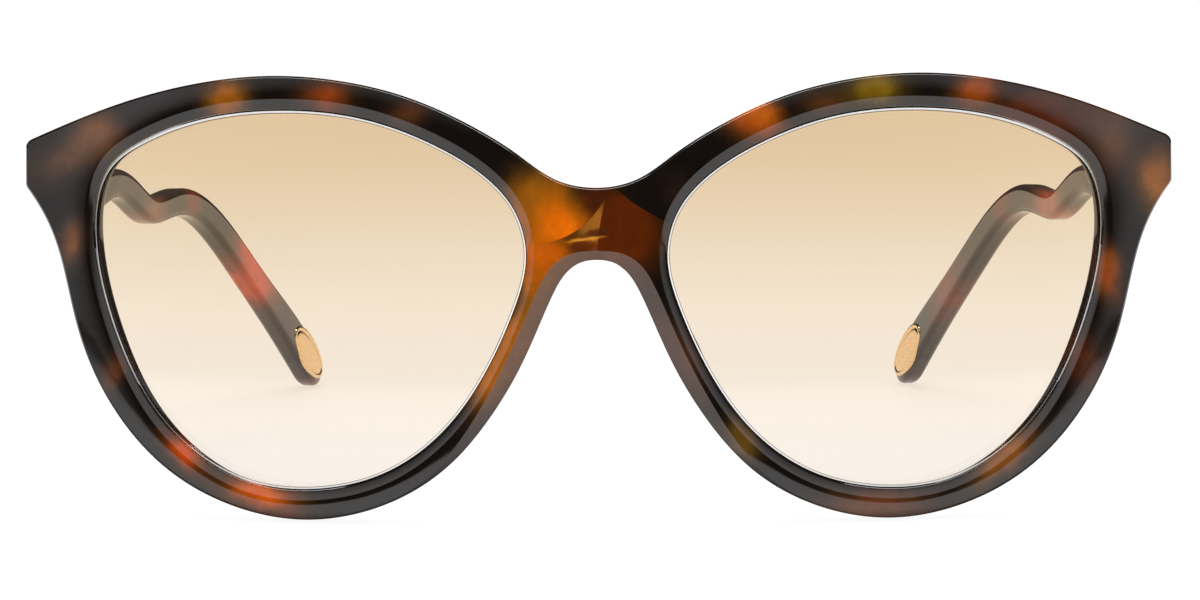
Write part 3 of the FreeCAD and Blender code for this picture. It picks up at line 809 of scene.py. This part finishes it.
def patched_colour(tree, coordinates, patches, base, drift):
    """Sheet acetate: clouds of colour in a dark base, mixed as dyes are, so they redden at their edges."""
    warped = coordinates
    for scale, roughness, amount in ((0.16, 0.5, drift), (0.55, 0.6, FRAY)):
        strayed = noise(tree, coordinates, scale, 3.0, roughness, "Color")
        strayed = vector_maths(tree, "SUBTRACT", strayed, (0.5, 0.5, 0.5))
        warped = vector_maths(tree, "ADD", warped, scaled(tree, strayed, amount))
    level = tuple(math.log(c) for c in linear(*base))
    for patch in patches:
        centre, radii, turn, colour, strength, softness = patch[:6]
        cover = disc_cover(tree, warped, centre, radii, turn, softness)
        for cut_centre, cut_radius, keep_inside in patch[6:]:
            cut_radii = (cut_radius, cut_radius)
            cut = disc_cover(tree, coordinates, cut_centre, cut_radii, 0, CUT_EDGE / cut_radius)
            if not keep_inside:
                cut = maths(tree, "SUBTRACT", 1.0, cut)
            cover = maths(tree, "MULTIPLY", cover, cut)
        cover = maths(tree, "MULTIPLY", cover, strength)
        target = tuple(math.log(max(c, DARKEST)) for c in linear(*colour))
        level = blend(tree, "VECTOR", cover, level, target)
    # painted light: the wide bevel's edge is lightened as if light passed through it
    milk = node(tree, "Attribute", attribute_name="milky").outputs["Fac"]
    milk = maths(tree, "MULTIPLY", milk, PAINTED_GLOW_SHARE)
    level = blend(tree, "VECTOR", milk, level, tuple(math.log(c) for c in linear(*PAINTED_GLOW_COLOUR)))
    shade = ranged(tree, noise(tree, coordinates, 0.45, 4.0, 0.55), (0.3, 0.7), (-MOTTLE, MOTTLE))
    parts = node(tree, "SeparateXYZ", {0: level}).outputs
    channels = {}
    for number, part in enumerate(parts):
        channels[number] = maths(tree, "EXPONENT", maths(tree, "ADD", part, shade))
    return node(tree, "CombineColor", channels).outputs[0]


def polish(tree, shader, coordinates):
    """Hand-polished plastic: slightly uneven gloss and a faint waviness."""
    rough = ranged(tree, noise(tree, coordinates, 0.9, 2.0), (0.3, 0.7), (0.045, 0.065))
    tree.links.new(rough, shader.inputs["Roughness"])
    bump(tree, shader, noise(tree, coordinates, 0.22, 1.0), 0.25, 0.00006)


DARK_BASE = (17, 11, 8)
TEMPLE_BASE = (44, 34, 30)
FRONT_DRIFT = 2.0  # span of the clouds' drift out of their ellipses, in millimetres
TEMPLE_DRIFT = 4.0
PAINTED_GLOW_COLOUR = (92, 60, 46)  # painted light: a glow where light passes through the thin edge of the wide bevel
# Discs whose edges cut off clouds in the bridge: middle, radius, and whether a cloud stays inside.
IN_LOBE, OFF_LOBE = (((-8.0, 17.0), 10.0, inside) for inside in (True, False))
OFF_BLADE = ((25.1, 5.2), 25.0, False)
IN_WEDGE = ((21.8, 36.7), 30.0, True)
FRONT_PATCHES = [
    # middle, half sizes, turn, colour, strength, softness of the edge, then discs that cut it off
    ((-63.8, 21.5), (3.2, 2.6), 0, (112, 60, 26), 1.0, 0.8),
    ((-66.5, 18.8), (6.5, 2.6), -20, (96, 60, 38), 0.9, 0.9),
    ((-46.7, 25.6), (3.0, 3.0), 0, (150, 84, 14), 1.0, 0.8),
    ((-33.9, 25.6), (3.2, 2.6), 0, (128, 54, 14), 1.0, 0.9),
    ((-23.6, 23.5), (2.6, 2.0), 0, (84, 46, 22), 0.9, 0.9),
    ((-67.3, 7.5), (1.8, 3.2), 10, (108, 64, 34), 1.0, 0.8),
    ((-61.5, -9.0), (1.6, 3.2), 25, (110, 52, 22), 0.8, 0.8),
    ((-52.4, -19.2), (3.6, 2.0), 43, (180, 66, 6), 1.0, 0.8),
    ((-42.5, -24.4), (5.6, 2.2), 15, (184, 78, 10), 1.0, 0.8),
    ((-11.6, -6.6), (2.9, 8.6), 28, (158, 88, 20), 1.0, 0.5),
    ((3.2, 8.6), (5.4, 6.0), 0, (84, 32, 3), 1.0, 0.5),
    ((8.8, 12.4), (6.0, 5.0), 0, DARK_BASE, 1.0, 0.5, IN_WEDGE),
    ((-7.9, 3.4), (2.6, 5.5), -8, (140, 80, 12), 1.0, 0.6),
    ((-6.2, 5.8), (4.2, 3.6), 0, (190, 88, 6), 1.0, 0.8),
    ((-7.2, 12.0), (5.0, 5.0), 30, (142, 82, 12), 1.0, 0.6, IN_LOBE),
    ((-4.2, 9.2), (3.6, 3.2), 35, (222, 104, 3), 1.0, 0.8, IN_LOBE),
    ((0.3, 13.2), (2.2, 1.6), 20, (70, 26, 10), 0.8, 0.7, IN_LOBE),
    ((-0.7, 9.9), (2.2, 4.4), -24, (168, 106, 34), 0.9, 0.5, OFF_LOBE, OFF_BLADE),
    ((-0.1, 8.3), (1.5, 0.6), 0, (70, 34, 12), 0.8, 0.6, OFF_LOBE),
    ((-1.5, 7.6), (2.3, 0.3), -3, (212, 140, 44), 0.9, 0.5, OFF_LOBE),
    ((-1.2, 6.6), (1.8, 0.5), 0, (92, 34, 8), 0.7, 0.8),
    ((19.6, 22.2), (5.6, 2.6), 26, (140, 62, 12), 1.0, 0.8),
    ((20.9, 23.2), (2.2, 1.8), 20, (176, 84, 12), 0.9, 0.8),
    ((28.4, 24.6), (3.2, 2.0), 10, (96, 54, 22), 0.8, 0.9),
    ((34.9, 26.2), (3.8, 2.6), 0, (116, 88, 12), 1.0, 0.8),
    ((47.9, 26.0), (3.2, 2.6), -8, (146, 66, 16), 1.0, 0.8),
    ((53.5, 23.5), (4.5, 1.5), -20, (110, 48, 14), 0.8, 0.8),
    ((56.0, 21.8), (10.0, 4.4), -18, (74, 32, 14), 1.0, 0.9),
    ((65.6, 19.6), (3.4, 4.4), 0, (92, 56, 34), 0.9, 0.9),
    ((71.4, 15.0), (2.8, 4.6), 10, (142, 84, 34), 1.0, 0.9),
    ((64.9, 3.2), (2.0, 4.0), -12, (134, 64, 20), 1.0, 0.8),
    ((60.6, -7.0), (2.6, 6.6), -28, (84, 36, 14), 0.9, 0.9),
    ((51.2, -20.2), (5.6, 2.0), -42, (150, 84, 24), 0.9, 0.8),
    ((35.0, -25.8), (8.0, 2.2), 0, (112, 58, 24), 0.9, 0.9),
    ((17.9, -17.4), (1.8, 3.0), -40, (110, 76, 22), 0.9, 0.7),
    ((10.6, -6.2), (1.8, 4.6), -28, (84, 46, 24), 0.8, 0.9),
    ((9.9, 13.9), (2.0, 2.0), 0, (50, 30, 20), 0.5, 0.8),
]
# Clouds of the temples: distance back, height, half sizes, turn, colour, strength, softness.
LEFT_TEMPLE_PATCHES = [
    ((30.0, 15.2), (4.0, 3.0), 0, (70, 50, 40), 0.8, 0.8),
    ((46.0, 15.6), (4.0, 3.0), 0, (76, 52, 42), 0.8, 0.8),
    ((60.0, 13.2), (8.0, 4.0), 0, (170, 84, 62), 1.0, 0.7),
    ((84.0, 13.8), (4.5, 3.0), 0, (110, 42, 28), 0.9, 0.8),
    ((110.0, 1.8), (7.5, 4.0), 28, (128, 50, 32), 0.9, 0.8),
    ((133.0, -11.0), (5.0, 4.0), 25, (66, 34, 28), 0.8, 0.8),
]
RIGHT_TEMPLE_PATCHES = [
    ((28.0, 15.0), (4.0, 3.0), 0, (60, 46, 38), 0.6, 0.8),
    ((59.0, 12.4), (5.5, 2.6), 0, (150, 84, 56), 0.9, 0.8),
    ((77.0, 14.6), (3.6, 2.6), 0, (130, 46, 30), 0.9, 0.8),
    ((105.0, 5.0), (10.0, 4.4), 27, (206, 70, 18), 1.0, 0.7),
    ((122.0, -4.0), (4.0, 3.0), 25, (74, 44, 36), 0.7, 0.8),
    ((136.0, -13.0), (6.5, 5.0), 25, (128, 40, 34), 1.0, 0.7),
]


def acetate_material(name, patches, base, drift, from_side=False):
    """Tortoiseshell acetate, whose clouds are placed as seen from the front or from the side."""
    material, tree, shader = new_material(name)
    coordinates = design_coordinates(tree)
    placed = coordinates
    if from_side:
        parts = node(tree, "SeparateXYZ", {0: coordinates}).outputs
        placed = node(tree, "CombineXYZ", {0: parts[1], 1: parts[0], 2: parts[2]}).outputs[0]
    colour = patched_colour(tree, placed, patches, base, drift)
    tree.links.new(colour, shader.inputs["Base Color"])
    shader.inputs["IOR"].default_value = 1.5
    shader.inputs["Specular IOR Level"].default_value = 0.7
    polish(tree, shader, coordinates)
    return material


def set_stops(ramp, stops):
    """Gives a colour ramp its stops: a place from 0 to 1 and a display colour each."""
    elements = ramp.color_ramp.elements
    for number, (at, colour) in enumerate(stops):
        element = elements[number] if number < 2 else elements.new(at)
        element.position = at
        element.color = (*linear(*colour), 1.0)


LENS_FADE = (-20.0, 26.0)  # heights between which the tint fades
LENS_TINTS = (
    (0.0, (235, 227, 218)), (0.42, (240, 225, 204)), (0.85, (226, 200, 163)), (1.0, (222, 194, 154)),
)
# the ground edge in painted light: a near-black line of painted shade at the opening, a white painted
# highlight, then a brown line of painted shade before the tint; and the highlight's glow
PAINTED_EDGE_LINES = (
    (0.0, (4, 3, 3)), (0.09, (8, 6, 5)), (0.12, (255, 255, 255)), (0.26, (255, 255, 255)),
    (0.3, (70, 54, 42)), (0.36, (90, 72, 58)), (0.42, (236, 226, 210)),
)
PAINTED_EDGE_GLOW = 0.3


def lens_material():
    """Clear plastic with a tint that fades downwards, and that lets the lamp's light through. Its ground edge
    has a painted highlight between lines of painted shade.
    """
    material, tree, shader = new_material("lens_gradient")
    coordinates = design_coordinates(tree)
    height = node(tree, "SeparateXYZ", {0: coordinates}).outputs[2]
    level = maths(tree, "ADD", height, maths(tree, "MULTIPLY", noise(tree, coordinates, 0.05, 1.0), 1.5))
    ramp = node(tree, "ValToRGB", {0: ranged(tree, level, LENS_FADE)})
    set_stops(ramp, LENS_TINTS)
    shader.inputs["IOR"].default_value = 1.5
    inset = node(tree, "Attribute", attribute_name="inset").outputs["Fac"]
    lines = node(tree, "ValToRGB", {0: inset})  # a painted highlight on the ground edge, between two lines of painted shade
    set_stops(lines, PAINTED_EDGE_LINES)
    on_line = ranged(tree, inset, (0.36, 0.44), (1.0, 0.0))
    tint = blend(tree, "RGBA", on_line, ramp.outputs["Color"], lines.outputs["Color"])
    tree.links.new(tint, shader.inputs["Base Color"])
    see_through = ranged(tree, inset, (0.26, 0.3))
    tree.links.new(see_through, shader.inputs["Transmission Weight"])
    opaque_edge = maths(tree, "SUBTRACT", 1.0, see_through)  # where the ground edge is opaque, which is given a painted glow
    glowing_edge = maths(tree, "MULTIPLY", opaque_edge, maths(tree, "GREATER_THAN", inset, 0.1))
    tree.links.new(maths(tree, "MULTIPLY", glowing_edge, PAINTED_EDGE_GLOW), shader.inputs["Emission Strength"])
    smear = noise(tree, coordinates, 0.3, 4.0)
    tree.links.new(ranged(tree, smear, (0.4, 0.8), (0.0, 0.02)), shader.inputs["Roughness"])
    once = node(tree, "Gamma", {"Color": ramp.outputs["Color"], "Gamma": 0.5}).outputs[0]
    clear = node(tree, "BsdfTransparent", {"Color": once})
    is_shadow = node(tree, "LightPath").outputs["Is Shadow Ray"]
    mixed = node(tree, "MixShader", {0: is_shadow, 1: shader.outputs[0], 2: clear.outputs[0]})
    tree.links.new(mixed.outputs[0], tree.nodes["Material Output"].inputs["Surface"])
    return material


def metal_material(name, colour, low, high, grain):
    """Metal with a fine directional finish, and roughness from low to high."""
    material, tree, shader = new_material(name)
    coordinates = design_coordinates(tree)
    stretched = node(
        tree, "Mapping", {"Vector": coordinates, "Scale": (grain, grain, grain * 9)}
    ).outputs["Vector"]
    lines = noise(tree, stretched, 1.0, 4.0)
    rough = ranged(tree, lines, (0.3, 0.7), (low, high))
    tone = ranged(tree, lines, (0.3, 0.7), (0.82, 1.05))
    tree.links.new(scaled(tree, linear(*colour), tone), shader.inputs["Base Color"])
    shader.inputs["Metallic"].default_value = 1.0
    tree.links.new(rough, shader.inputs["Roughness"])
    bump(tree, shader, lines, 0.15, 0.00003)
    return material


def nylon_material():
    """Pale nylon of the hinges' washers."""
    material, tree, shader = new_material("nylon")
    ramp = node(tree, "ValToRGB", {0: noise(tree, design_coordinates(tree), 4.0, 3.0)})
    set_stops(ramp, ((0.0, (206, 202, 190)), (1.0, (232, 230, 220))))
    tree.links.new(ramp.outputs["Color"], shader.inputs["Base Color"])
    shader.inputs["Roughness"].default_value = 0.45
    return material


FLOOR_GLOW = 0.93
SCREEN_FOOT = (-0.75, -0.12)  # metres in front of the glasses between which the floor darkens
POOL_MIDDLE = -0.04  # painted shadow: a dark strip on the floor below the rims, seen only in reflections, which keeps their outline dark
POOL_EDGE = (0.024, 0.036)
POOL_GLOW = 0.06


def floor_material():
    """A white sheet lit from below as well, which leaves hardly any shadow.

    What shines sees it darken towards the screen's foot, and mirrors see a dark strip of painted shadow in it
    too.
    """
    material, tree, shader = new_material("white_sheet")
    source = node(tree, "TexCoord").outputs["Object"]
    tone = ranged(tree, noise(tree, source, 3.0, 3.0), (0.0, 1.0), (0.11, 0.13))
    colour = node(tree, "CombineColor", {0: tone, 1: tone, 2: tone}).outputs[0]
    tree.links.new(colour, shader.inputs["Base Color"])
    shader.inputs["Roughness"].default_value = 0.9
    shader.inputs["Specular IOR Level"].default_value = 0.1
    shader.inputs["Emission Color"].default_value = (1, 1, 1, 1)
    forward = node(tree, "SeparateXYZ", {0: source}).outputs[1]
    dimmed = ranged(tree, forward, SCREEN_FOOT, (0.02, FLOOR_GLOW), "SMOOTHERSTEP")
    from_pool = maths(tree, "ABSOLUTE", maths(tree, "SUBTRACT", forward, POOL_MIDDLE))
    under = ranged(tree, from_pool, POOL_EDGE, (POOL_GLOW, 1.0))
    rays = node(tree, "LightPath").outputs
    mirrored = maths(tree, "MULTIPLY", rays["Is Glossy Ray"], rays["Is Reflection Ray"])
    glow = blend(tree, "FLOAT", rays["Is Glossy Ray"], FLOOR_GLOW, dimmed)
    painted_shadow = blend(tree, "FLOAT", mirrored, 1.0, under)
    tree.links.new(maths(tree, "MULTIPLY", glow, painted_shadow), shader.inputs["Emission Strength"])
    return material


# Pieces

tortoise = acetate_material("tortoise_front", FRONT_PATCHES, DARK_BASE, FRONT_DRIFT)
lens_tint = lens_material()
gold = metal_material("medallion_gold", (250, 212, 160), 0.12, 0.22, 0.8)
nickel = metal_material("nickel_silver", (206, 202, 194), 0.22, 0.36, 3.0)
steel = metal_material("polished_steel", (214, 214, 216), 0.08, 0.18, 3.0)
wire = metal_material("wire_metal", (200, 196, 188), 0.2, 0.3, 2.0)
nylon = nylon_material()
temple_materials = {
    name: acetate_material(f"tortoise_temple_{name}", patches, TEMPLE_BASE, TEMPLE_DRIFT, from_side=True)
    for name, patches in (("left", LEFT_TEMPLE_PATCHES), ("right", RIGHT_TEMPLE_PATCHES))
}

# the front, with each point's share of painted glow on the wide bevel
*shape, milky = front_mesh()
piece("front_shaped", shape, "front", "front_acetate", tortoise, "front_frame", milky=milky)
for name, side in (("left", 1), ("right", -1)):
    *shape, inset = lens_mesh(side)
    piece(f"lens_{name}_shaped", shape, "front", "lens_tint", lens_tint, f"lens_{name}", inset=inset)
    piece(
        f"nose_pad_{name}_shaped", pad_mesh(side), "front", "pad_acetate", tortoise, f"nose_pad_{name}"
    )
    piece(
        f"temple_{name}_shaped", temple_mesh(side), f"temple_{name}", "temple_acetate",
        temple_materials[name], f"temple_{name}",
    )
    piece(
        f"tip_medallion_{name}_shaped", medallion_mesh(side), f"temple_{name}", "medallion_gold", gold,
        f"tip_medallion_{name}",
    )
    for cad_node, material in (
        ("hinge_front_plate", nickel), ("hinge_temple_plate", nickel), ("hinge_screw", steel),
        ("hinge_washers", nylon), ("temple_core_wire", wire),
    ):
        frame["nodes"][f"{cad_node}_{name}"].material_slots[0].material = material


# Stage, light and camera


def stage():
    """The sheet that the glasses stand on."""
    half = 4.0
    corners = [(-half, -half, 0), (half, -half, 0), (half, half, 0), (-half, half, 0)]
    mesh = bpy.data.meshes.new("floor")
    mesh.from_pydata(corners, [], [(0, 1, 2, 3)])
    mesh.materials.append(floor_material())
    floor = linked("floor", mesh)
    floor.location.z = -0.00002


SCREEN_HALF_WIDTH = math.radians(60)
SCREEN_HALF_HEIGHT = math.radians(24)
SCREEN_HEIGHT = math.radians(4)
SCREEN_EDGE = (0.6, 1.25)  # in those half sizes
SCREEN_TONES = (0.02, 1.02)
ROOM_BACK = (-0.55, -0.25)  # Y of the directions between which the room darkens towards the back


def surroundings():
    """A white room; what shines in the glasses is also a dark screen in front of them."""
    world = bpy.data.worlds.new("white_room")
    bpy.context.scene.world = world
    world.use_nodes = True
    tree = world.node_tree
    direction = node(tree, "TexCoord").outputs["Generated"]
    parts = node(tree, "SeparateXYZ", {0: direction}).outputs
    turn = maths(tree, "ARCTAN2", parts[0], maths(tree, "MULTIPLY", parts[1], -1.0))
    across = maths(tree, "DIVIDE", turn, SCREEN_HALF_WIDTH)
    rise = maths(tree, "SUBTRACT", maths(tree, "ARCSINE", parts[2]), SCREEN_HEIGHT)
    up = maths(tree, "DIVIDE", rise, SCREEN_HALF_HEIGHT)
    squares = [maths(tree, "MULTIPLY", part, part) for part in (across, up)]
    away = maths(tree, "SQRT", maths(tree, "ADD", *squares))
    screen = ranged(tree, away, SCREEN_EDGE, SCREEN_TONES, "SMOOTHSTEP")
    room = ranged(tree, parts[1], ROOM_BACK, (1.0, 0.04))
    rays = node(tree, "LightPath").outputs
    strength = blend(tree, "FLOAT", rays["Is Diffuse Ray"], 1.05, 0.8)
    mirrored = maths(tree, "MULTIPLY", screen, room)
    strength = blend(tree, "FLOAT", rays["Is Glossy Ray"], strength, mirrored)
    background = tree.nodes["Background"]
    background.inputs["Color"].default_value = (1, 1, 1, 1)
    tree.links.new(strength, background.inputs["Strength"])


def area_light(name, place, target, width, height, power):
    """A soft box at a place, facing a target."""
    data = bpy.data.lights.new(name, "AREA")
    data.shape = "RECTANGLE"
    data.size, data.size_y = width, height
    data.energy = power
    light = linked(name, data)
    light.location = place
    light.rotation_euler = (Vector(target) - Vector(place)).to_track_quat("-Z", "Y").to_euler()


FOCAL = 108.4
DISTANCE = 450.0  # in front of the glasses, and how far to the wearer's left
CAMERA_ACROSS = 6.0
TARGET = (0.4, 0.0, 0.0)
ROLL = math.radians(-0.33)


def camera():
    """A long lens, almost straight in front."""
    data = bpy.data.cameras.new("camera")
    data.lens = FOCAL
    data.sensor_width = 36.0
    data.clip_start = 0.01
    made = linked("camera", data)
    made.location = REST @ Vector((CAMERA_ACROSS, -DISTANCE, 0.0))
    target = REST @ Vector(TARGET)
    aim = (target - made.location).to_track_quat("-Z", "Y")
    made.rotation_euler = (aim @ Quaternion((0, 0, 1), ROLL)).to_euler()
    bpy.context.scene.camera = made


stage()
surroundings()
area_light("overhead", (0.0, -0.05, 0.9), (0, 0, 0), 0.9, 0.25, 9.0)
camera()
bpy.context.scene.view_settings.view_transform = "Standard"
